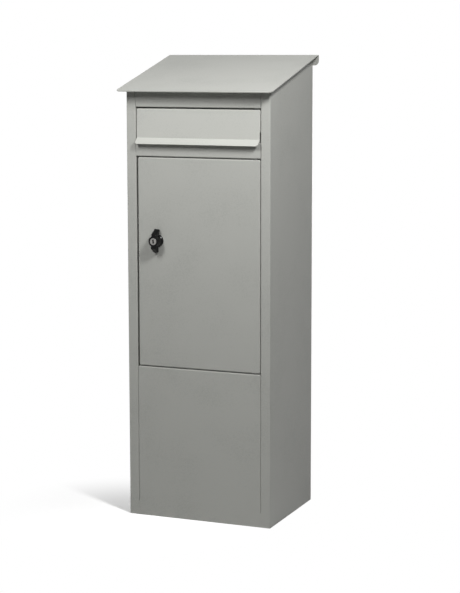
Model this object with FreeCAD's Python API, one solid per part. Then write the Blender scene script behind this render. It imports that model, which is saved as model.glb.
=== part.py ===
"""Free-standing pillar mailbox folded from sheet steel.

Millimetres, +Z up. The origin is on the floor in the middle of the base, the front faces -Y and
the hinge side of the door is at +X.
"""
import FreeCAD
import Part
import math
import os

Vector = FreeCAD.Vector

# Overall sizes
body_width = 330.0
body_depth = 260.0
overall_height = 1000.0

# Sheets and folds
sheet = 1.0
roof_sheet = 2.0
base_sheet = 1.5
ledge_sheet = 1.5
bend_inside = 1.5
roof_bend_inside = 2.0
corner_round = 3.0

# Front frame
stile_width = 22.0
jamb_depth = 15.0
stop_return = 12.0
stop_gap = 1.0
seam_gap = 0.15

# Stack of the front from floor to roof
panel_height = 331.6
middle_rail_face = 33.3
flap_lift = 6.4
flap_height = 62.2
flap_top_gap = 2.8
top_rail_face = 40.1
door_gap = 2.0

# Door
door_gap_lock_side = 3.8
door_gap_hinge_side = 1.25
hinge_from_edge = 12.0
hinge_from_front = 6.5
hinge_pin_radius = 2.5
hinge_head_radius = 3.8
hinge_head_height = 1.5
hinge_pin_reach = 6.0
hinge_washer_radius = 5.5
running_clearance = 0.05
moving_gap = 0.3

# Letter flap
flap_side_gap = 1.25
flap_ear_depth = 12.0
flap_ear_stop = 16.0
flap_lip_out = 13.0
flap_lip_drop = 12.3
flap_lip_inset = 1.0
flap_lip_round = 6.0
rod_radius = 2.0
rod_from_front = 6.5
rod_from_top = 5.5
rod_cap_radius = 3.8
rod_cap_height = 1.4
rod_end = 3.0
upstand_back = 4.5
upstand_height = 17.0
upstand_return = 10.5
bumper_radius = 3.5
bumper_spread = 198.0
bumper_rise = 11.9

# Roof
roof_pitch = 14.25
roof_front_overhang = 28.0
roof_side_overhang = 13.0
roof_flange_drop = 23.0
roof_front_round = 12.0
roof_flange_round = 10.0
roof_seat_gap = 0.1
roof_seat_width = 12.0
roof_seat_leg = 18.0
roof_seat_start = 22.0
roof_seat_corner = 24.0
rivet_radius = 2.0
rivet_head_radius = 3.8
rivet_head_height = 1.3
rivet_spacing = 112.0

# Base and compartment floor
base_flange = 30.0
notch_clearance = 1.0
base_fit = 0.1
base_notch = 5.0
anchor_hole_radius = 5.5
anchor_spread_x = 230.0
anchor_spread_y = 170.0
floor_side_gap = 0.5
floor_tab_overlap = 9.0
floor_tab_clearance = 8.75
floor_flange = 14.0
finger_hole_radius = 11.0
finger_hole_from_front = 36.0
ledge_leg = 15.0
ledge_end_gap = 12.0

# Lock
lock_backset = 45.2
lock_height = 274.1
rosette_radius = 14.0
rosette_thickness = 4.0
rosette_bevel = 2.8
barrel_radius = 9.5
barrel_fit = 0.1
spindle_radius = 5.0
spindle_socket = 7.0
spindle_square = 7.0
nut_across_flats = 24.0
nut_thickness = 4.0
knob_length = 18.6
knob_base_radius = 11.6
knob_front_radius = 11.0
wing_half_height = 25.8
wing_front_half_height = 15.0
wing_root_half_height = 9.0
wing_root_rise = 14.4
wing_tip_rise = 5.6
wing_tip_slant = 2.4
wing_tip_clearance = 2.0
wing_width = 11.4
wing_bevel = 0.8
knob_rim_bevel = 0.7
plug_radius = 7.6
plug_length = 10.0
plug_recess = 0.4
plug_bevel = 0.5
keyway_width = 2.8
keyway_height = 9.0
keyway_depth = 7.0
keyway_side = 1.2
keyway_ward_height = 1.8
keyway_ward_rise = 1.2
keyway_groove_height = 1.8
keyway_groove_drop = 2.4
cam_length = 58.0
cam_width = 15.0
cam_thickness = 2.0
cam_gap = 0.5
screw_head_radius = 5.0
screw_head_height = 2.6
screw_radius = 2.2
screw_length = 9.0
screw_slot = 1.2
screw_slot_depth = 1.3

# Values that follow from the sizes above
half_width = body_width / 2
half_depth = body_depth / 2
front = -half_depth
back = half_depth
opening = half_width - stile_width
bend_outside = bend_inside + sheet
bend_flat = bend_inside * (2 - math.sqrt(2))
corner_trim = 2 * corner_round
pitch = math.radians(roof_pitch)
slope = math.tan(pitch)
secant = 1 / math.cos(pitch)
roof_bend_outside = roof_bend_inside + roof_sheet
roof_back = back + roof_sheet
roof_ridge = overall_height + roof_bend_outside * (slope + secant - 1)
roof_front = front - roof_front_overhang
under_roof_front = roof_ridge - (roof_back - front) * slope - roof_sheet * secant - roof_seat_gap
under_roof_back = under_roof_front + body_depth * slope
rivet_z = under_roof_back - roof_flange_drop / 2
seat_run = roof_seat_width * math.cos(pitch)
seat_rise = roof_seat_width * math.sin(pitch)
top_rail_bottom = under_roof_front - top_rail_face
flap_top = top_rail_bottom - flap_top_gap
flap_crease = flap_top - flap_height
rail_top = flap_crease - flap_lift
rail_bottom = rail_top - middle_rail_face
door_top = rail_bottom - door_gap
door_bottom = panel_height + door_gap
door_left = -opening + door_gap_lock_side
door_right = opening - door_gap_hinge_side
door_back = front + jamb_depth
stop_front = door_back + stop_gap
notch_height = base_flange + notch_clearance
hinge_x = door_right - hinge_from_edge
hinge_y = front + hinge_from_front
flap_half = opening - flap_side_gap
rod_y = front + rod_from_front
rod_z = flap_top - rod_from_top
lock_x = door_left + lock_backset
lock_z = door_bottom + lock_height
rosette_front = front - rosette_thickness
knob_back = rosette_front - moving_gap
knob_front = knob_back - knob_length
cam_front = stop_front + sheet + cam_gap
cam_back = cam_front + cam_thickness
barrel_back = cam_front - moving_gap - cam_gap
bore_radius = spindle_radius + running_clearance


def unit(vector):
    """Direction of a 2-D vector as a pair of length one."""
    length = math.hypot(vector[0], vector[1])
    return (vector[0] / length, vector[1] / length)


def shifted(point, direction, distance):
    """2-D point moved along a direction by a distance."""
    return (point[0] + direction[0] * distance, point[1] + direction[1] * distance)


def folded(points, thickness, inside, place, sweep):
    """Folded sheet that runs along sweep, to the right of the points of its visible side."""
    heads = []
    for first, second in zip(points, points[1:]):
        heads.append(unit((second[0] - first[0], second[1] - first[1])))
    near = [[points[0]]]
    far = [[shifted(points[0], (heads[0][1], -heads[0][0]), thickness)]]
    for corner, before, after in zip(points[1:-1], heads, heads[1:]):
        cross = before[0] * after[1] - before[1] * after[0]
        half_turn = math.atan2(abs(cross), before[0] * after[0] + before[1] * after[1]) / 2
        near_radius = inside + thickness if cross < 0 else inside
        far_radius = inside if cross < 0 else inside + thickness
        normal = (before[1], -before[0]) if cross < 0 else (-before[1], before[0])
        tangent = near_radius * math.tan(half_turn)
        start = shifted(corner, before, -tangent)
        centre = shifted(start, normal, near_radius)
        exit_normal = (after[1], -after[0]) if cross < 0 else (-after[1], after[0])
        outward = unit((corner[0] - centre[0], corner[1] - centre[1]))
        for path, radius in ((near, near_radius), (far, far_radius)):
            arc = [shifted(centre, normal, -radius)]
            arc.append(shifted(centre, outward, radius))
            arc.append(shifted(centre, exit_normal, -radius))
            path.append(arc)
    near.append([points[-1]])
    far.append([shifted(points[-1], (heads[-1][1], -heads[-1][0]), thickness)])
    outline = near + [list(reversed(arc)) for arc in reversed(far)]
    edges = []
    for index, arc in enumerate(outline):
        if len(arc) == 3:
            edges.append(Part.Arc(*[place(*point) for point in arc]).toShape())
        following = outline[(index + 1) % len(outline)]
        edges.append(Part.makeLine(place(*arc[-1]), place(*following[0])))
    return Part.Face(Part.Wire(edges)).extrude(sweep)


def block(x0, x1, y0, y1, z0, z1):
    """Rectangular solid between two corners."""
    return Part.makeBox(x1 - x0, y1 - y0, z1 - z0, Vector(x0, y0, z0))


def rod_along(axis, radius, start, length):
    """Round bar that begins at start and runs along the axis."""
    return Part.makeCylinder(radius, length, start, axis)


def edges_along(shape, axis, accept):
    """Straight edges of a shape that are parallel to the axis and whose middle is accepted."""
    found = []
    for edge in shape.Edges:
        if isinstance(edge.Curve, Part.Line) and edge.Curve.Direction.cross(axis).Length < 1e-6:
            if accept(edge.CenterOfMass):
                found.append(edge)
    return found


def rounded_block(x0, x1, y0, y1, z0, z1, corner):
    """Rectangular solid whose four edges along Y are rounded."""
    solid = block(x0, x1, y0, y1, z0, z1)
    return solid.makeFillet(corner, edges_along(solid, Vector(0, 1, 0), lambda middle: True))


def front_rim(shape, y):
    """Edges that lie wholly in the plane of one depth."""
    rim = []
    for edge in shape.Edges:
        if abs(edge.BoundBox.YMax - y) < 1e-6 and edge.BoundBox.YLength < 1e-6:
            rim.append(edge)
    return rim


def pan(x0, x1, y0, y1, z0, z1):
    """Sheet pan that opens to the rear, with four turned edges whose bends are flattened inside."""
    outer = rounded_block(x0, x1, y0, y1, z0, z1, corner_round)
    outer = outer.makeFillet(bend_outside, front_rim(outer, y0))
    inner = rounded_block(x0 + sheet, x1 - sheet, y0 + sheet, y1 + sheet, z0 + sheet, z1 - sheet,
                          corner_round - sheet)
    inner = inner.makeChamfer(bend_flat, front_rim(inner, y0 + sheet))
    return outer.cut(inner)


def plan(z):
    """Placement of a section drawn in X and Y at one height."""
    return lambda x, y: Vector(x, y, z)


def side_view(x):
    """Placement of a section drawn in Y and Z at one X."""
    return lambda y, z: Vector(x, y, z)


def under_roof(x, along, above):
    """Point given along the roof's slope and above its seat, from the front plane."""
    return Vector(x, front + along * math.cos(pitch) - above * math.sin(pitch),
                  under_roof_front + along * math.sin(pitch) + above * math.cos(pitch))


def save(name, shape):
    """Write one piece, with coplanar faces merged, to its own file."""
    shape.removeSplitter().exportStep("parts/" + name + ".step")


def make_shell():
    """Back, sides, stiles, jambs and the left stop from one sheet, with seats for the roof at the top."""
    tall = Vector(0, 0, overall_height - notch_height)
    wrap = [(-half_width, front), (-half_width, back), (half_width, back), (half_width, front)]
    left = [(-opening + stop_return, stop_front), (-opening, stop_front), (-opening, front)]
    right = [(opening, front), (opening, door_back)]
    shell = folded(left + wrap + right, sheet, bend_inside, plan(notch_height), tall)
    plain = [(-opening, front)] + wrap + [(opening, front)]
    shell = shell.fuse(folded(plain, sheet, bend_inside, plan(0), Vector(0, 0, notch_height)))
    shell = shell.cut(block(-half_width + bend_outside, 0, door_back, 0, rail_bottom, overall_height))
    reach = body_depth * secant
    far = 2 * reach
    corners = [(-body_width, -reach), (body_width, -reach), (body_width, far), (-body_width, far)]
    points = [under_roof(x, along, 0) for x, along in corners + corners[:1]]
    shell = shell.cut(Part.Face(Part.makePolygon(points)).extrude(Vector(0, 0, overall_height)))
    run = reach - roof_seat_start - roof_seat_corner
    heading = Vector(0, run * math.cos(pitch), run * math.sin(pitch))
    for side in (-1, 1):
        near = side * (half_width - bend_outside)
        wide = side * (half_width + sheet)
        corners = [(wide, sheet), (near, sheet), (near, -bend_outside), (wide, -bend_outside)]
        points = [under_roof(x, roof_seat_start, above) for x, above in corners + corners[:1]]
        edge = Part.Face(Part.makePolygon(points))
        shell = shell.cut(edge.extrude(heading))
        seat = [(half_width - roof_seat_width, 0), (half_width, 0), (half_width, -roof_seat_leg)]
        if side < 0:
            seat = [(-x, above) for x, above in reversed(seat)]
        shell = shell.fuse(folded(seat, sheet, bend_inside,
                                  lambda x, above: under_roof(x, roof_seat_start, above), heading))
    inset = half_width - roof_seat_corner
    shell = shell.cut(block(-body_width, body_width, back - 2 * bend_outside, back + sheet,
                            under_roof_back - 2 * bend_outside, overall_height))
    seat = [(back - seat_run, under_roof_back - seat_rise), (back, under_roof_back),
            (back, under_roof_back - roof_seat_leg)]
    shell = shell.fuse(folded(seat, sheet, bend_inside, side_view(-inset), Vector(2 * inset, 0, 0)))
    for x in rivet_places():
        shell = shell.cut(rivet_hole(x))
    rod_hole = rod_along(Vector(1, 0, 0), rod_radius + running_clearance,
                         Vector(-half_width + bend_outside, rod_y, rod_z), body_width - 2 * bend_outside)
    return shell.cut(rod_hole)


def rivet_places():
    """X of the rivets along the roof's turned-down edge."""
    return [-rivet_spacing, 0.0, rivet_spacing]


def rivet_hole(x):
    """Round cutter for one rivet through the back wall and the roof's turned-down edge."""
    start = Vector(x, back - 2 * sheet, rivet_z)
    return rod_along(Vector(0, 1, 0), rivet_radius, start, 2 * sheet + 2 * roof_sheet)


def make_top_rail():
    """Strip above the letter slot, turned back at the slot and along the roof."""
    half = opening - seam_gap
    profile = [(door_back, top_rail_bottom), (front, top_rail_bottom), (front, under_roof_front),
               (front + seat_run, under_roof_front + seat_rise)]
    return folded(profile, sheet, bend_inside, side_view(-half), Vector(2 * half, 0, 0))


def make_middle_rail():
    """Strip between door and letter slot, set back at the top to stand behind the flap."""
    half = opening - seam_gap
    ledge = front + upstand_back
    crest = rail_top + upstand_height
    profile = [(door_back, rail_bottom), (front, rail_bottom), (front, rail_top), (ledge, rail_top),
               (ledge, crest), (ledge + upstand_return, crest)]
    rail = folded(profile, sheet, bend_inside, side_view(-half), Vector(2 * half, 0, 0))
    return rail.cut(rod_along(Vector(0, 0, 1), hinge_pin_radius, Vector(hinge_x, hinge_y, door_top),
                              middle_rail_face / 2))


def make_panel():
    """Pedestal front: flat below, with turned sides above the base and a turned top edge."""
    half = opening - seam_gap
    panel = pan(-half, half, front, door_back, notch_height - corner_trim, panel_height)
    panel = panel.cut(block(-body_width, body_width, front - sheet, back, 0, notch_height))
    panel = panel.fuse(block(-half, half, front, front + sheet, 0, notch_height))
    panel = panel.fuse(block(-half + corner_round, half - corner_round, front, front + sheet, 0,
                             notch_height + corner_round))
    return panel.cut(rod_along(Vector(0, 0, 1), hinge_pin_radius, Vector(hinge_x, hinge_y, panel_height / 2),
                               panel_height))


def make_base():
    """Bottom tray folded up on four sides, with notched corners and four anchor holes."""
    x = half_width - sheet - base_fit
    y = half_depth - sheet - base_fit
    sides = [(x, base_flange), (x, 0), (-x, 0), (-x, base_flange)]
    ends = [(y, base_flange), (y, 0), (-y, 0), (-y, base_flange)]
    tray = folded(sides, base_sheet, bend_inside, lambda across, z: Vector(across, -y + base_notch, z),
                  Vector(0, 2 * (y - base_notch), 0))
    tray = tray.fuse(folded(ends, base_sheet, bend_inside, side_view(-x + base_notch),
                            Vector(2 * (x - base_notch), 0, 0)))
    for side_x in (-1, 1):
        for side_y in (-1, 1):
            centre = Vector(side_x * anchor_spread_x / 2, side_y * anchor_spread_y / 2, -base_sheet)
            tray = tray.cut(rod_along(Vector(0, 0, 1), anchor_hole_radius, centre, 3 * base_sheet))
    return tray


def make_floor():
    """Loose compartment floor, turned down at the rear, with a front tab and a finger hole."""
    half = half_width - sheet - floor_side_gap
    start = stop_front + 2 * sheet
    end = back - sheet - floor_side_gap
    top = panel_height + sheet
    profile = [(start, top), (end, top), (end, top - floor_flange)]
    plate = folded(profile, sheet, bend_inside, side_view(-half), Vector(2 * half, 0, 0))
    tab = hinge_x - hinge_washer_radius - floor_tab_clearance
    plate = plate.fuse(block(-tab, tab, door_back - floor_tab_overlap, start + sheet, panel_height, top))
    hole = Vector(0, start + finger_hole_from_front, panel_height - sheet)
    return plate.cut(rod_along(Vector(0, 0, 1), finger_hole_radius, hole, 4 * sheet))


def make_ledge(side):
    """Angle along one side wall that carries the floor."""
    wall = half_width - sheet
    profile = [(wall - ledge_leg, panel_height), (wall, panel_height), (wall, panel_height - ledge_leg)]
    if side < 0:
        profile = [(-x, z) for x, z in reversed(profile)]
    start = stop_front + ledge_end_gap
    run = back - sheet - floor_flange - ledge_end_gap - start
    return folded(profile, ledge_sheet, bend_inside, lambda x, z: Vector(x, start, z), Vector(0, run, 0))


def make_roof():
    """Sloping sheet with rounded corners, turned down behind the back wall."""
    half = half_width + roof_side_overhang
    profile = [(roof_front, roof_ridge - (roof_back - roof_front) * slope), (roof_back, roof_ridge),
               (roof_back, overall_height - roof_flange_drop)]
    roof = folded(profile, roof_sheet, roof_bend_inside, side_view(-half), Vector(2 * half, 0, 0))
    normal = Vector(0, -math.sin(pitch), math.cos(pitch))
    roof = roof.makeFillet(roof_front_round, edges_along(roof, normal, lambda middle: middle.y < front))
    roof = roof.makeFillet(roof_flange_round, edges_along(roof, Vector(0, 1, 0), lambda middle: middle.y > 0))
    for x in rivet_places():
        roof = roof.cut(rivet_hole(x))
    return roof


def make_rivets():
    """Rivets with a tapered head outside and a shank through both sheets."""
    along = Vector(0, 1, 0)
    rivet = rod_along(along, rivet_radius, Vector(0, back - sheet, 0), sheet + roof_sheet)
    rivet = rivet.fuse(Part.makeCone(rivet_head_radius, rivet_radius, rivet_head_height,
                                     Vector(0, roof_back, 0), along))
    return Part.makeCompound([rivet.translated(Vector(x, 0, rivet_z)) for x in rivet_places()])


def make_flap():
    """Letter flap: turned top and side ears, with a lip bent outward at the bottom."""
    ear_bottom = flap_crease + flap_ear_stop
    flap = pan(-flap_half, flap_half, front, front + flap_ear_depth, flap_crease - corner_trim, flap_top)
    flap = flap.cut(block(-body_width, body_width, front - sheet, back, 0, ear_bottom))
    half = flap_half - flap_lip_inset
    profile = [(front - flap_lip_out, flap_crease - flap_lip_drop), (front, flap_crease),
               (front, ear_bottom)]
    lip = folded(profile, sheet, bend_inside, side_view(-half), Vector(2 * half, 0, 0))
    across = Vector(0, flap_lip_drop, -flap_lip_out)
    corners = edges_along(lip, across.normalize(), lambda middle: middle.y < front - flap_lip_out / 2)
    lip = lip.makeFillet(flap_lip_round, corners)
    flap = flap.fuse(lip)
    inner = flap_half - bend_outside
    flap = flap.fuse(block(-inner, inner, front, front + sheet, ear_bottom - sheet,
                           ear_bottom + corner_round))
    return flap.cut(rod_along(Vector(1, 0, 0), rod_radius + running_clearance, Vector(-opening, rod_y, rod_z),
                              2 * opening))


def make_rod():
    """Hinge rod of the flap, held in both jambs."""
    reach = opening + sheet + rod_cap_height + rod_end
    return rod_along(Vector(1, 0, 0), rod_radius, Vector(-reach, rod_y, rod_z), 2 * reach)


def make_rod_caps():
    """Push-on caps that keep the rod between the jambs."""
    caps = []
    for start in (opening + sheet, -opening - sheet - rod_cap_height):
        place = Vector(start, rod_y, rod_z)
        cap = rod_along(Vector(1, 0, 0), rod_cap_radius, place, rod_cap_height)
        caps.append(cap.cut(rod_along(Vector(1, 0, 0), rod_radius, place, rod_cap_height)))
    return Part.makeCompound(caps)


def make_bumpers():
    """Rubber dots on the upstand that stop the flap."""
    height = upstand_back - sheet - moving_gap
    z = rail_top + bumper_rise
    dots = []
    for side in (-1, 1):
        start = Vector(side * bumper_spread / 2, front + upstand_back - height, z)
        dots.append(rod_along(Vector(0, 1, 0), bumper_radius, start, height))
    return Part.makeCompound(dots)


def make_door():
    """Pan-shaped door with the lock hole and the two pivot holes."""
    door = pan(door_left, door_right, front, door_back, door_bottom, door_top)
    door = door.cut(lock_bar(barrel_radius + barrel_fit, front - sheet, front + 3 * sheet))
    return door.cut(rod_along(Vector(0, 0, 1), hinge_pin_radius + running_clearance,
                              Vector(hinge_x, hinge_y, 0), overall_height))


def make_upper_pin():
    """Headed pin through the middle rail down into the door."""
    seat = rail_bottom + sheet
    pin = rod_along(Vector(0, 0, -1), hinge_pin_radius, Vector(hinge_x, hinge_y, seat),
                    sheet + door_gap + sheet + hinge_pin_reach)
    return pin.fuse(rod_along(Vector(0, 0, 1), hinge_head_radius, Vector(hinge_x, hinge_y, seat),
                              hinge_head_height))


def make_lower_pin():
    """Headed pin through the pedestal's top edge up into the door."""
    seat = panel_height - sheet
    pin = rod_along(Vector(0, 0, 1), hinge_pin_radius, Vector(hinge_x, hinge_y, seat),
                    sheet + door_gap + sheet + hinge_pin_reach)
    return pin.fuse(rod_along(Vector(0, 0, -1), hinge_head_radius, Vector(hinge_x, hinge_y, seat),
                              hinge_head_height))


def make_washer(bottom):
    """Plastic washer on a hinge pin."""
    height = door_gap - moving_gap
    start = Vector(hinge_x, hinge_y, bottom)
    washer = rod_along(Vector(0, 0, 1), hinge_washer_radius, start, height)
    return washer.cut(rod_along(Vector(0, 0, 1), hinge_pin_radius + running_clearance, start, height))


def lock_bar(radius, start, end):
    """Round bar on the lock's axis between two depths."""
    return rod_along(Vector(0, 1, 0), radius, Vector(lock_x, start, lock_z), end - start)


def make_housing():
    """Rosette outside the door and the barrel that goes through it, in one piece."""
    disc = lock_bar(rosette_radius, rosette_front, front)
    disc = disc.makeChamfer(rosette_bevel, front_rim(disc, rosette_front))
    body = disc.fuse(lock_bar(barrel_radius, front, barrel_back))
    return body.cut(lock_bar(bore_radius, rosette_front, barrel_back))


def make_nut():
    """Hexagon nut that clamps the barrel behind the door."""
    start = front + sheet
    corner = nut_across_flats / math.sqrt(3)
    points = []
    for step in range(7):
        turn = math.radians(60 * step)
        points.append(Vector(lock_x + corner * math.cos(turn), start, lock_z + corner * math.sin(turn)))
    prism = Part.Face(Part.makePolygon(points)).extrude(Vector(0, nut_thickness, 0))
    return prism.cut(lock_bar(barrel_radius, start, start + nut_thickness))


def make_knob():
    """Wing knob: a tapered drum with two wings swept back past the rosette, bored for plug and spindle."""
    drum = Part.makeCone(knob_front_radius, knob_base_radius, knob_length, Vector(lock_x, knob_front, lock_z),
                         Vector(0, 1, 0))
    drum = drum.makeChamfer(knob_rim_bevel, front_rim(drum, knob_front))
    half = [(front - wing_root_rise, wing_root_half_height),
            (front - wing_tip_clearance, wing_half_height - wing_tip_slant),
            (front - wing_tip_rise, wing_half_height), (knob_front, wing_front_half_height)]
    corners = half + [(y, -z) for y, z in reversed(half)]
    points = [Vector(lock_x - wing_width / 2, y, lock_z + z) for y, z in corners]
    wing = Part.Face(Part.makePolygon(points + points[:1])).extrude(Vector(wing_width, 0, 0))
    brim = []
    for edge in wing.Edges:
        if edge.BoundBox.XLength < 1e-6 and abs(edge.CenterOfMass.z - lock_z) > knob_base_radius:
            brim.append(edge)
    knob = drum.fuse(wing.makeChamfer(wing_bevel, brim))
    knob = knob.cut(lock_bar(plug_radius + running_clearance, knob_front - sheet, knob_front + plug_length))
    return knob.cut(lock_bar(spindle_radius, knob_back - spindle_socket, knob_back + sheet))


def make_spindle():
    """Steel spindle from the knob through the barrel, squared for the cam and tapped for its screw."""
    bar = lock_bar(spindle_radius, knob_back - spindle_socket, cam_front)
    half = spindle_square / 2
    bar = bar.fuse(block(lock_x - half, lock_x + half, cam_front, cam_back, lock_z - half, lock_z + half))
    return bar.cut(lock_bar(screw_radius, cam_back - screw_length, cam_back))


def make_plug():
    """Round key plug with a stepped keyway."""
    face = knob_front + plug_recess
    deep = face + keyway_depth
    plug = lock_bar(plug_radius, face, knob_front + plug_length)
    plug = plug.makeChamfer(plug_bevel, front_rim(plug, face))
    side = keyway_width / 2
    reach = side + keyway_side
    half = keyway_height / 2
    rise = keyway_ward_rise
    drop = keyway_groove_drop
    cuts = [(-side, side, -half, half), (-reach, side, rise, rise + keyway_ward_height),
            (-side, reach, -drop, -drop + keyway_groove_height)]
    for x0, x1, z0, z1 in cuts:
        plug = plug.cut(block(lock_x + x0, lock_x + x1, face - sheet, deep, lock_z + z0, lock_z + z1))
    return plug


def make_cam():
    """Flat tongue with a square hole, upright when the door is free."""
    half = cam_width / 2
    tongue = block(lock_x - half, lock_x + half, cam_front, cam_back, lock_z, lock_z + cam_length - half)
    tongue = tongue.fuse(lock_bar(half, cam_front, cam_back))
    tip = lock_bar(half, cam_front, cam_back).translated(Vector(0, 0, cam_length - half))
    tongue = tongue.fuse(tip)
    side = spindle_square / 2
    return tongue.cut(block(lock_x - side, lock_x + side, cam_front, cam_back, lock_z - side, lock_z + side))


def make_cam_screw():
    """Slotted screw that holds the cam on the spindle."""
    end = cam_back + screw_head_height
    half = screw_slot / 2
    head = lock_bar(screw_head_radius, cam_back, end)
    head = head.cut(block(lock_x - screw_head_radius, lock_x + screw_head_radius, end - screw_slot_depth, end,
                          lock_z - half, lock_z + half))
    return head.fuse(lock_bar(screw_radius, cam_back - screw_length + sheet, cam_back))


os.makedirs("parts", exist_ok=True)
save("cabinet_shell", make_shell())
save("top_rail", make_top_rail())
save("middle_rail", make_middle_rail())
save("lower_front_panel", make_panel())
save("base_tray", make_base())
save("compartment_floor", make_floor())
save("floor_ledge_left", make_ledge(-1))
save("floor_ledge_right", make_ledge(1))
save("roof", make_roof())
save("roof_rivets", make_rivets())
save("mail_flap", make_flap())
save("flap_hinge_rod", make_rod())
save("flap_rod_caps", make_rod_caps())
save("flap_bumpers", make_bumpers())
save("door", make_door())
save("upper_hinge_pin", make_upper_pin())
save("lower_hinge_pin", make_lower_pin())
save("upper_hinge_washer", make_washer(door_top))
save("lower_hinge_washer", make_washer(panel_height))
save("lock_housing", make_housing())
save("lock_nut", make_nut())
save("wing_knob", make_knob())
save("lock_spindle", make_spindle())
save("lock_plug", make_plug())
save("latch_cam", make_cam())
save("cam_screw", make_cam_screw())
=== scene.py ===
"""Free-standing pillar mailbox of grey powder-coated sheet steel, dressed over its solids. Metres, +Z up."""
import math

import bpy
import numpy as np
from mathutils import Matrix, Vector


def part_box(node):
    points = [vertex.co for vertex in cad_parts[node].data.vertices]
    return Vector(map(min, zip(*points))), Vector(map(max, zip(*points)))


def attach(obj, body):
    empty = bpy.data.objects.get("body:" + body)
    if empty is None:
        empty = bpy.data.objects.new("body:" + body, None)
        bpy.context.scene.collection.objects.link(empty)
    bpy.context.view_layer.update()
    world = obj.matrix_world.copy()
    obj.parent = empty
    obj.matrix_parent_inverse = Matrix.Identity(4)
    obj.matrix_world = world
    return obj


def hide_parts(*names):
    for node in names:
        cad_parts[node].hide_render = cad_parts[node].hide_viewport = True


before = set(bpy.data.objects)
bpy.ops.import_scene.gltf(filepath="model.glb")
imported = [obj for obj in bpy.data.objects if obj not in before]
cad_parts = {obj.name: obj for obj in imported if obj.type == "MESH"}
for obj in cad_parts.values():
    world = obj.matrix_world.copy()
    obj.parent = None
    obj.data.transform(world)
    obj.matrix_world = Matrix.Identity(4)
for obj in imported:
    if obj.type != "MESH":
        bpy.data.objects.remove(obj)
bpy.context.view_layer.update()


# Base tray
# A shallow tray of 1.5 mm steel, folded up on four sides and spot welded inside the foot of the cabinet.
# Like every sheet of the box it is powder coated in one satin grey, baked to a faint orange peel.
coat_shade = (0.361, 0.365, 0.341)
coat_light = (0.399, 0.403, 0.377)
coat_gloss = 0.22
coat_roughness = (0.44, 0.54)
cloud_cells = 9.0
mottle_cells = 420.0
peel_cells = 480.0
peel_relief = (0.12, 0.0003)
speckle_cells = 1600.0
speckle_relief = (0.1, 0.0001)
noise_span = (0.3, 0.7)
two_noise_span = (0.7, 1.3)


def node(tree, kind, **inputs):
    """One shader node with the given input values, each named as in the node with _ for a blank."""
    made = tree.nodes.new(kind)
    for key, value in inputs.items():
        made.inputs[key.replace("_", " ")].default_value = value
    return made


def blank_material(name):
    """A node material with a principled shader, its tree and its object coordinates."""
    material = bpy.data.materials.new(name)
    material.use_nodes = True
    tree = material.node_tree
    shader = tree.nodes["Principled BSDF"]
    place = tree.nodes.new("ShaderNodeTexCoord").outputs["Object"]
    return material, tree, shader, place


def grain(tree, place, cells, detail=2.0):
    """Value of a noise pattern with so many cells to the metre."""
    noise = node(tree, "ShaderNodeTexNoise", Scale=cells, Detail=detail)
    tree.links.new(place, noise.inputs["Vector"])
    return noise.outputs["Fac"]


def tint(tree, factor, span, dark, light):
    """Colour that goes from dark to light while the factor goes through its span."""
    ramp = tree.nodes.new("ShaderNodeValToRGB")
    for stop, position, tone in zip(ramp.color_ramp.elements, span, (dark, light)):
        stop.position = position
        stop.color = (*tone, 1.0)
    tree.links.new(factor, ramp.inputs["Fac"])
    return ramp.outputs["Color"]


def spread(tree, factor, low, high):
    """A noise value, which stays near one half, brought to the span from low to high."""
    span = node(tree, "ShaderNodeMapRange", From_Min=noise_span[0], From_Max=noise_span[1],
                To_Min=low, To_Max=high)
    tree.links.new(factor, span.inputs["Value"])
    return span.outputs["Result"]


def relief(tree, shader, layers):
    """Bumps one over the other on a shader: each layer is a height, its strength and its depth in metres."""
    normal = None
    for height, strength, depth in layers:
        bump = node(tree, "ShaderNodeBump", Strength=strength, Distance=depth)
        tree.links.new(height, bump.inputs["Height"])
        if normal:
            tree.links.new(normal, bump.inputs["Normal"])
        normal = bump.outputs["Normal"]
    tree.links.new(normal, shader.inputs["Normal"])


def powder_coat(name, painted_light_scale=1.0):
    """Satin powder coat: a faint cloud and a fine mottle, added, move the grey between its two tones.
    A speckle moves the gloss, and waves of 2 mm make the orange peel. A scale above one brightens both tones
    as painted light."""
    dark, light = [tuple(painted_light_scale * c for c in tone) for tone in (coat_shade, coat_light)]
    material, tree, shader, place = blank_material(name)
    cloud = node(tree, "ShaderNodeMath")
    tree.links.new(grain(tree, place, cloud_cells, detail=4.0), cloud.inputs[0])
    tree.links.new(grain(tree, place, mottle_cells), cloud.inputs[1])
    speckle = grain(tree, place, speckle_cells)
    tree.links.new(tint(tree, cloud.outputs[0], two_noise_span, dark, light), shader.inputs["Base Color"])
    tree.links.new(spread(tree, speckle, *coat_roughness), shader.inputs["Roughness"])
    peel = grain(tree, place, peel_cells)
    relief(tree, shader, [(peel, *peel_relief), (speckle, *speckle_relief)])
    shader.inputs["Specular IOR Level"].default_value = coat_gloss
    return material


def dress(material, *names):
    """Gives solids of the frame one finish."""
    for name in names:
        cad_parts[name].data.materials.clear()
        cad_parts[name].data.materials.append(material)


coat = powder_coat("grey_powder_coat")
dress(coat, "base_tray")


# Cabinet shell
# Back, sides, stiles and door jambs are one sheet of 1 mm steel, bent on a press brake into an open box.
# Its upper edges are turned in as seats for the roof.
dress(coat, "cabinet_shell")


# Front rails and pedestal front
# Two folded strips frame the letter slot, and a flat pan closes the pedestal under the door.
# They are welded between the stiles, which leaves a fine seam at each end.
dress(coat, "top_rail", "middle_rail", "lower_front_panel")


# Compartment floor and its ledges
# The floor of the mail compartment is a loose plate with a finger hole.
# It lies on two angles welded to the side walls.
dress(coat, "compartment_floor", "floor_ledge_left", "floor_ledge_right")


# Roof
# A 2 mm plate that slopes to the front, with rounded front corners and its rear edge turned down.
# It is coated like the cabinet.
dress(coat, "roof")


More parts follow.
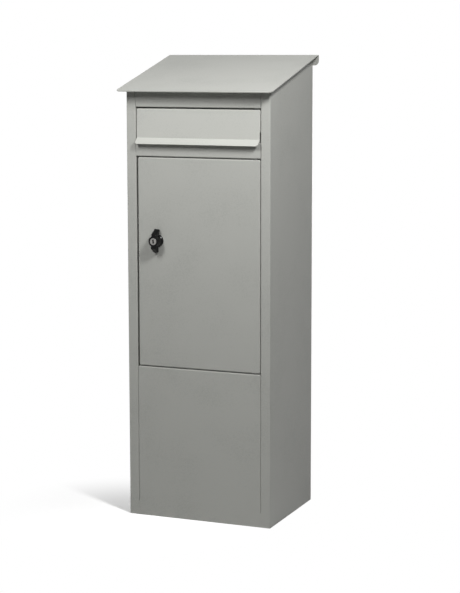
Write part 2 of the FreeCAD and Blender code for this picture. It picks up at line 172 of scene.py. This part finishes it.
# Roof rivets
# Three steel blind rivets hold the roof's turned edge to the back wall and are coated with it.
# The head is a low dome round the hole that the drawn mandrel leaves, and the tail is squeezed inside.
head_radius = 0.0038
dome_height = 0.0013
dome_turn = 1.2 * np.linspace(0, 1, 9)
shank_radius = 0.002
grip = 0.003
tail_radius = [0.0014, 0.0024, 0.0028, 0.0028]
tail_depth = [-0.0022, -0.002, -0.0012, -0.0001]
mandrel_radius = [0.0011, 0.001]
mandrel_depth = [0.0041, 0.0033]
crease = math.radians(40)


def skin(name, points, material, hoop=False):
    """Mesh over a grid of rows of points. Each row closes on itself, and four neighbours span a face.
    With hoop the last row joins the first. Without it the end rows are closed to their middle points."""
    rows, around = points.shape[:2]
    index = np.arange(rows * around).reshape(rows, around)
    beside = np.roll(index, -1, 1)
    if hoop:
        below, across = np.roll(index, -1, 0), np.roll(beside, -1, 0)
    else:
        below, across = index[1:], beside[1:]
    count = len(below)
    quads = np.stack([index[:count], beside[:count], across, below], -1).reshape(-1, 4)
    corners = points.reshape(-1, 3)
    fans = np.zeros((0, 3), int)
    if not hoop:
        ends = np.stack([points[0].mean(0), points[-1].mean(0)])
        first = np.stack([beside[0], index[0], np.full(around, len(corners))], -1)
        last = np.stack([index[-1], beside[-1], np.full(around, len(corners) + 1)], -1)
        fans = np.concatenate([first, last])
        corners = np.concatenate([corners, ends])
    halves = np.concatenate([quads[:, [0, 1, 2]], quads[:, [0, 2, 3]], fans])
    sides = corners[halves] - corners.mean(0)
    volume = np.einsum("ij,ij->i", sides[:, 0], np.cross(sides[:, 1], sides[:, 2])).sum()
    if volume < 0:
        quads, fans = quads[:, ::-1], fans[:, ::-1]
    mesh = bpy.data.meshes.new(name)
    mesh.from_pydata(corners.tolist(), [], quads.tolist() + fans.tolist())
    mesh.shade_smooth()
    mesh.set_sharp_from_angle(angle=crease)
    mesh.materials.append(material)
    piece = bpy.data.objects.new(name, mesh)
    bpy.context.scene.collection.objects.link(piece)
    return piece


def turned(radius, depth, centre_x, centre_z, around=96):
    """Points of a form turned about an axis along Y. Each radius, plain or one for each angle, has a depth."""
    angle = np.arange(around) * 2 * np.pi / around
    radius = np.broadcast_to(np.atleast_2d(radius.T).T, (len(depth), around))
    return np.stack([centre_x + radius * np.cos(angle), np.broadcast_to(depth[:, None], radius.shape),
                     centre_z + radius * np.sin(angle)], -1)


rivet_low, rivet_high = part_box("roof_rivets")
rivet_row = (rivet_low.z + rivet_high.z) / 2
rivet_reach = rivet_high.x - head_radius
rivet_radius = np.concatenate([tail_radius, [shank_radius, shank_radius], head_radius * np.cos(dome_turn),
                               mandrel_radius])
rivet_depth = rivet_low.y + np.concatenate([
    tail_depth, [0, grip], grip + dome_height * np.sin(dome_turn) / np.sin(dome_turn[-1]), mandrel_depth])
for number, along in enumerate((-rivet_reach, 0.0, rivet_reach), 1):
    rivet = skin(f"roof_rivet_{number}", turned(rivet_radius, rivet_depth, along, rivet_row, 48), coat)
    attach(rivet, "cabinet")
    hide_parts("roof_rivets")


# Letter flap
# A folded flap, its coat brightened a shade as painted light, hangs on a zinc-plated steel rod under the top
# rail, and its bottom edge is bent out as a grip. Push-on caps keep the rod in the jambs, and two rubber dots
# take the knock.
# Painted light: the flap's copy of the coat is scaled brighter than the cabinet's.
flap_painted_light = 1.15
zinc_shade = (0.42, 0.43, 0.42)
zinc_light = (0.58, 0.59, 0.58)
zinc_roughness = (0.28, 0.46)
bloom_cells = 140.0
plating_cells = 2200.0
plating_relief = (0.1, 0.0001)
rubber_shade = (0.018, 0.018, 0.018)
rubber_light = (0.03, 0.03, 0.029)
moulded_relief = (0.15, 0.0001)
roughness_swing = 0.06
dress(powder_coat("flap_coat_with_painted_light", flap_painted_light), "mail_flap")


def zinc_plate(name):
    """Zinc plating: bright grey metal with a cloudy bloom that dulls it in patches."""
    material, tree, shader, place = blank_material(name)
    bloom = grain(tree, place, bloom_cells, detail=4.0)
    tree.links.new(tint(tree, bloom, noise_span, zinc_shade, zinc_light), shader.inputs["Base Color"])
    tree.links.new(spread(tree, bloom, *zinc_roughness), shader.inputs["Roughness"])
    relief(tree, shader, [(grain(tree, place, plating_cells), *plating_relief)])
    shader.inputs["Metallic"].default_value = 1.0
    return material


def moulded(name, dark, light, rough, cells):
    """Moulded rubber or plastic: a skin whose tone and gloss follow a fine grain."""
    material, tree, shader, place = blank_material(name)
    fine = grain(tree, place, cells, detail=3.0)
    tree.links.new(tint(tree, fine, noise_span, dark, light), shader.inputs["Base Color"])
    gloss = spread(tree, fine, rough - roughness_swing, rough + roughness_swing)
    tree.links.new(gloss, shader.inputs["Roughness"])
    relief(tree, shader, [(fine, *moulded_relief)])
    return material


zinc = zinc_plate("zinc_plated_steel")
dress(zinc, "flap_hinge_rod", "flap_rod_caps")
rubber = moulded("bumper_rubber", rubber_shade, rubber_light, rough=0.75, cells=1500.0)
dress(rubber, "flap_bumpers")


# Door
# A pan of 1 mm steel with turned edges, on two headed zinc-plated pins at its right side.
# Grey nylon washers on the pins keep the paint of door and frame apart.
nylon_shade = (0.11, 0.11, 0.1)
nylon_light = (0.15, 0.15, 0.14)
dress(coat, "door")
dress(zinc, "upper_hinge_pin", "lower_hinge_pin")
nylon = moulded("grey_nylon", nylon_shade, nylon_light, rough=0.42, cells=900.0)
dress(nylon, "upper_hinge_washer", "lower_hinge_washer")


# Lock
# A turned rosette with a threaded barrel, a wing knob of black plastic on a steel spindle,
# and a nickel-plated key plug in the knob's nose. A flat tongue behind the door catches the jamb.
plastic_shade = (0.0012, 0.0012, 0.0013)
plastic_light = (0.0024, 0.0024, 0.0025)
plastic_gloss = 0.13
plastic = moulded("black_plastic", plastic_shade, plastic_light, rough=0.14, cells=1900.0)
plastic.node_tree.nodes["Principled BSDF"].inputs["Specular IOR Level"].default_value = plastic_gloss
dress(plastic, "wing_knob", "lock_housing")
dress(zinc, "lock_nut", "lock_spindle", "latch_cam", "cam_screw")
housing_low, housing_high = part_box("lock_housing")
lock_x = (housing_low.x + housing_high.x) / 2
lock_z = (housing_low.z + housing_high.z) / 2
door_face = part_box("door")[0].y

# Rosette and barrel: a flat nose, a coned rim with softened edges, a back on the door, and a screw thread
# whose crests keep the barrel's radius.
cone = 0.0028
soft = 0.0005
housing_bore = 0.00505
barrel_radius = 0.0095
thread_depth = 0.0007
thread_pitch = 0.0014
barrel_end_radius = 0.0085
lead_in = 0.0002
run_out = 0.0004
thread_rows = 109
barrel_sides = 96
eighth = np.linspace(0, np.pi / 4, 5)
next_eighth = np.linspace(np.pi / 4, np.pi / 2, 5)
edge_run = soft * math.tan(np.pi / 8)
rosette_radius = (housing_high.x - housing_low.x) / 2
rosette_height = door_face - housing_low.y
nose_radius = np.concatenate([
    [housing_bore], rosette_radius - cone - edge_run + soft * np.sin(eighth),
    rosette_radius - soft + soft * np.sin(next_eighth), [rosette_radius, barrel_radius]])
nose_depth = np.concatenate([
    [0], soft * (1 - np.cos(eighth)), cone + edge_run - soft * np.cos(next_eighth),
    [rosette_height, rosette_height]])
thread_depths = np.linspace(door_face + lead_in, housing_high.y - run_out, thread_rows)
turn_share = np.arange(barrel_sides) / barrel_sides
wave = 2 * np.abs((thread_depths[:, None] / thread_pitch + turn_share) % 1 - 0.5)
end_radius = np.array([barrel_end_radius, housing_bore])
housing_radius = np.concatenate([
    np.repeat(nose_radius[:, None], barrel_sides, 1), barrel_radius - thread_depth + thread_depth * wave,
    np.repeat(end_radius[:, None], barrel_sides, 1)])
housing_depth = np.concatenate([housing_low.y + nose_depth, thread_depths, [housing_high.y, housing_high.y]])
housing_points = turned(housing_radius, housing_depth, lock_x, lock_z, barrel_sides)
housing = skin("rosette_and_barrel", housing_points, plastic, hoop=True)
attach(housing, "door")
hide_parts("lock_housing")

# Knob drum: from the spindle's socket over the tapered side and the rounded nose into the plug's bore.
knob_gap = 0.0003
socket_radius = 0.005
socket_depth = 0.007
drum_base = 0.0116
drum_front = 0.011
base_bevel = 0.0004
nose_edge = 0.0009
plug_bore = 0.00765
plug_bore_depth = 0.01
bore_bevel = 0.00055
bore_bevel_depth = 0.0005
quarter = np.linspace(0, np.pi / 2, 7)
knob_low, knob_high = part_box("wing_knob")
knob_reach = door_face - knob_low.y
knob_back = rosette_height + knob_gap
drum_radius = np.concatenate([
    [socket_radius, socket_radius, drum_base - base_bevel, drum_base],
    drum_front - nose_edge + nose_edge * np.cos(quarter), [plug_bore + bore_bevel, plug_bore, plug_bore]])
drum_rise = np.concatenate([
    [knob_back + socket_depth, knob_back, knob_back, knob_back + base_bevel],
    knob_reach - nose_edge + nose_edge * np.sin(quarter),
    [knob_reach, knob_reach - bore_bevel_depth, knob_reach - plug_bore_depth]])
drum = skin("knob_drum", turned(drum_radius, door_face - drum_rise, lock_x, lock_z), plastic)

# Wings: the crest runs level with the nose, turns and falls to the tip, and the back runs straight to it.
# The wings lean a little past upright, as a hand leaves the knob.
wing_half_width = 0.0057
wing_lean = math.radians(4.0)
wing_sides = 64
tip_rounding = 0.0011
tip_start = 0.945
turn_station = 0.3
tip_height = (knob_high.z - knob_low.z) / 2
crest_rise = knob_reach - 0.0003
crest_root = np.array([0.009, crest_rise])
crest_turn = np.array([0.015, crest_rise])
crest_tip = np.array([tip_height, 0.0056])
back_root = np.array([0.009, 0.0049])
back_tip = np.array([tip_height - 0.0024, 0.002])


def swept_wing(side, crest, back):
    """Points of one wing. Each station along it is a rounded oblong, a superellipse of the eighth power, as
    wide as the wing and as thick as the way from the back line to the crest line. The last stations are drawn
    in by a quarter circle, which rounds the tip. Lines hold heights above the lock's axis and rises above
    the door."""
    angle = np.arange(wing_sides) * 2 * np.pi / wing_sides
    across = np.sign(np.cos(angle)) * np.abs(np.cos(angle)) ** (2 / 8)
    through = np.sign(np.sin(angle)) * np.abs(np.sin(angle)) ** (2 / 8)
    middle = (crest + back) / 2
    thick = np.linalg.norm(crest - back, axis=1) / 2
    toward = (crest - back) / (2 * thick[:, None])
    drawn_in = tip_rounding * (1 - np.cos(quarter))
    inset = np.concatenate([np.zeros(len(crest) - len(quarter)), drawn_in])
    height = middle[:, :1] + (thick - inset)[:, None] * toward[:, :1] * through
    rise = middle[:, 1:] + (thick - inset)[:, None] * toward[:, 1:] * through
    width = (wing_half_width - inset)[:, None] * across
    return np.stack([lock_x + side * (width * math.cos(wing_lean) + height * math.sin(wing_lean)),
                     door_face - rise,
                     lock_z + side * (height * math.cos(wing_lean) - width * math.sin(wing_lean))], -1)


tip_stations = tip_start + (1 - tip_start) * np.sin(quarter)
station = np.concatenate([np.linspace(0, tip_start, 24), tip_stations])[:, None]
level_run = np.clip(station / turn_station, 0, 1)
falling_run = np.clip((station - turn_station) / (1 - turn_station), 0, 1)
crest_line = crest_root + level_run * (crest_turn - crest_root) + falling_run * (crest_tip - crest_turn)
back_line = back_root + station * (back_tip - back_root)
wings = [skin(f"knob_wing_{number}", swept_wing(side, crest_line, back_line), plastic)
         for number, side in enumerate((1, -1), 1)]
for piece in [drum] + wings:
    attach(piece, "knob")
    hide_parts("wing_knob")

# Key plug: bright on its face and rim, with painted shade that darkens it down in the keyway.
nickel_shade = (0.23, 0.225, 0.215)
nickel_light = (0.3, 0.295, 0.28)
nickel_roughness = (0.3, 0.42)
scratch_cells = 1200.0
keyway_mouth = (0.0001, 0.0005)
plug_rim = (0.006, 0.0066)


def nickel_with_painted_keyway_shade(name, face, axis_x, axis_z):
    """Turned nickel with fine scratches. Its colour is scaled by the larger of two values: one falls from
    the face down the keyway's mouth, the other rises with the distance from the plug's axis at the rim, so the
    keyway gets painted shade."""
    material, tree, shader, place = blank_material(name)
    scratch = grain(tree, place, scratch_cells, detail=4.0)
    bright = tint(tree, scratch, noise_span, nickel_shade, nickel_light)
    split = tree.nodes.new("ShaderNodeSeparateXYZ")
    tree.links.new(place, split.inputs[0])
    inward = node(tree, "ShaderNodeMapRange", From_Min=face + keyway_mouth[0],
                  From_Max=face + keyway_mouth[1], To_Min=1.0, To_Max=0.0)
    tree.links.new(split.outputs["Y"], inward.inputs["Value"])
    aside = tree.nodes.new("ShaderNodeVectorMath")
    aside.operation = "MULTIPLY_ADD"
    aside.inputs[1].default_value = (1, 0, 1)
    aside.inputs[2].default_value = (-axis_x, 0, -axis_z)
    tree.links.new(place, aside.inputs[0])
    radius = tree.nodes.new("ShaderNodeVectorMath")
    radius.operation = "LENGTH"
    tree.links.new(aside.outputs[0], radius.inputs[0])
    brink = node(tree, "ShaderNodeMapRange", From_Min=plug_rim[0], From_Max=plug_rim[1])
    tree.links.new(radius.outputs["Value"], brink.inputs["Value"])
    # Painted shade: the colour falls toward black down the keyway, and the rim is kept out of it.
    painted_daylight = tree.nodes.new("ShaderNodeMath")
    painted_daylight.operation = "MAXIMUM"
    tree.links.new(inward.outputs["Result"], painted_daylight.inputs[0])
    tree.links.new(brink.outputs["Result"], painted_daylight.inputs[1])
    shade = tree.nodes.new("ShaderNodeVectorMath")
    shade.operation = "SCALE"
    tree.links.new(bright, shade.inputs[0])
    tree.links.new(painted_daylight.outputs[0], shade.inputs["Scale"])
    tree.links.new(shade.outputs[0], shader.inputs["Base Color"])
    tree.links.new(spread(tree, scratch, *nickel_roughness), shader.inputs["Roughness"])
    shader.inputs["Metallic"].default_value = 1.0
    return material


dress(nickel_with_painted_keyway_shade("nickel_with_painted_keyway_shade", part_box("lock_plug")[0].y, lock_x, lock_z), "lock_plug")


# Studio
# A pale floor runs to the horizon. A narrow lamp stands at the right and another left of the middle, with a
# weak one above and two fills, far off and low, for the back and the left side. The camera stands a little
# above the roof.
floor_reach = 9
floor_drop = -0.0004
floor_bounce = 0.7
floor_seen = 1.53
white_distance = 0.34
ambient_glow = 0.02
floor_corners = [(-floor_reach, -floor_reach, floor_drop), (floor_reach, -floor_reach, floor_drop),
                 (floor_reach, floor_reach, floor_drop), (-floor_reach, floor_reach, floor_drop)]
floor_mesh = bpy.data.meshes.new("floor")
floor_mesh.from_pydata(floor_corners, [], [(0, 1, 2, 3)])
floor = bpy.data.objects.new("floor", floor_mesh)
bpy.context.scene.collection.objects.link(floor)


def seen_directly(tree):
    """One for rays from the camera, mirrors and glass, zero for light that falls on the object."""
    path = tree.nodes.new("ShaderNodeLightPath")
    total = path.outputs["Is Camera Ray"]
    for kind in ("Is Glossy Ray", "Is Transmission Ray"):
        larger = tree.nodes.new("ShaderNodeMath")
        larger.operation = "MAXIMUM"
        tree.links.new(total, larger.inputs[0])
        tree.links.new(path.outputs[kind], larger.inputs[1])
        total = larger.outputs[0]
    return total


# Floor paper: matt near the cabinet, so that it keeps the shadow, and fading to plain white further out.
paper = bpy.data.materials.new("paper_floor")
paper.use_nodes = True
paper_tree = paper.node_tree
paper_tree.nodes.clear()
matt = paper_tree.nodes.new("ShaderNodeBsdfDiffuse")
direct = seen_directly(paper_tree)
pale = node(paper_tree, "ShaderNodeMapRange", To_Min=floor_bounce, To_Max=floor_seen)
paper_tree.links.new(direct, pale.inputs["Value"])
paper_tree.links.new(pale.outputs["Result"], matt.inputs["Color"])
spot = paper_tree.nodes.new("ShaderNodeTexCoord").outputs["Object"]
reach = paper_tree.nodes.new("ShaderNodeVectorMath")
reach.operation = "DISTANCE"
reach.inputs[1].default_value = (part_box("cabinet_shell")[0].x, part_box("cabinet_shell")[0].y, 0)
paper_tree.links.new(spot, reach.inputs[0])
away = node(paper_tree, "ShaderNodeMapRange", From_Min=0.0, From_Max=white_distance)
away.interpolation_type = "SMOOTHSTEP"
paper_tree.links.new(reach.outputs["Value"], away.inputs["Value"])
share = paper_tree.nodes.new("ShaderNodeMath")
share.operation = "MULTIPLY"
paper_tree.links.new(direct, share.inputs[0])
paper_tree.links.new(away.outputs["Result"], share.inputs[1])
white = node(paper_tree, "ShaderNodeEmission", Color=(1, 1, 1, 1), Strength=1.0)
fade = paper_tree.nodes.new("ShaderNodeMixShader")
paper_tree.links.new(share.outputs[0], fade.inputs["Fac"])
paper_tree.links.new(matt.outputs[0], fade.inputs[1])
paper_tree.links.new(white.outputs[0], fade.inputs[2])
paper_out = paper_tree.nodes.new("ShaderNodeOutputMaterial")
paper_tree.links.new(fade.outputs[0], paper_out.inputs["Surface"])
floor_mesh.materials.append(paper)

world = bpy.data.worlds.new("studio")
world.use_nodes = True
sky = world.node_tree
sky_glow = sky.nodes["Background"]
sky_glow.inputs["Color"].default_value = (1, 1, 1, 1)
ambient = node(sky, "ShaderNodeMapRange", To_Min=ambient_glow, To_Max=1.0)
sky.links.new(seen_directly(sky), ambient.inputs["Value"])
sky.links.new(ambient.outputs["Result"], sky_glow.inputs["Strength"])
bpy.context.scene.world = world


def softbox(name, place, target, width, height, power):
    """Rectangular lamp at a place, turned to a target."""
    lamp = bpy.data.lights.new(name, "AREA")
    lamp.shape = "RECTANGLE"
    lamp.size = width
    lamp.size_y = height
    lamp.energy = power
    holder = bpy.data.objects.new(name, lamp)
    eye = np.array(place)
    back = eye - np.array(target)
    back = back / np.linalg.norm(back)
    across = np.cross((0, 0, 1), back)
    across = across / np.linalg.norm(across)
    up = np.cross(back, across)
    turn = np.eye(4)
    turn[:3, :] = np.stack([across, up, back, eye], 1)
    holder.matrix_world = Matrix(turn.tolist())
    bpy.context.scene.collection.objects.link(holder)


softbox("right_lamp", (0.9, -0.8, 1.64), (0, 0, 0.8), width=0.14, height=0.35, power=17.2)
softbox("left_lamp", (-0.36, -1.1, 1.55), (0, 0, 0.7), width=0.16, height=0.5, power=11.2)
softbox("top_lamp", (0.1, -0.4, 1.6), (0, -0.1, 0.9), width=0.3, height=0.3, power=0.7)
softbox("back_lamp", (0, 4.0, 0.4), (0, 0, 0.5), width=0.3, height=0.6, power=55.0)
softbox("side_lamp", (-4.0, 0.4, 0.25), (-0.165, 0.1, 0.5), width=0.4, height=0.4, power=14.0)

camera_place = (1.45464, -3.50231, 1.03698)
camera_swing = 0.40479
camera_dip = 0.13559
camera_roll = -0.00407
lens = bpy.data.cameras.new("camera")
lens.lens = 105.726
lens.shift_x = 0.04705
lens.shift_y = -0.03476
camera = bpy.data.objects.new("camera", lens)
aim = Matrix.Rotation(camera_swing, 4, "Z") @ Matrix.Rotation(math.pi / 2 - camera_dip, 4, "X")
camera.matrix_world = Matrix.Translation(camera_place) @ aim @ Matrix.Rotation(camera_roll, 4, "Z")
bpy.context.scene.collection.objects.link(camera)
bpy.context.scene.camera = camera
bpy.context.scene.view_settings.view_transform = "Standard"
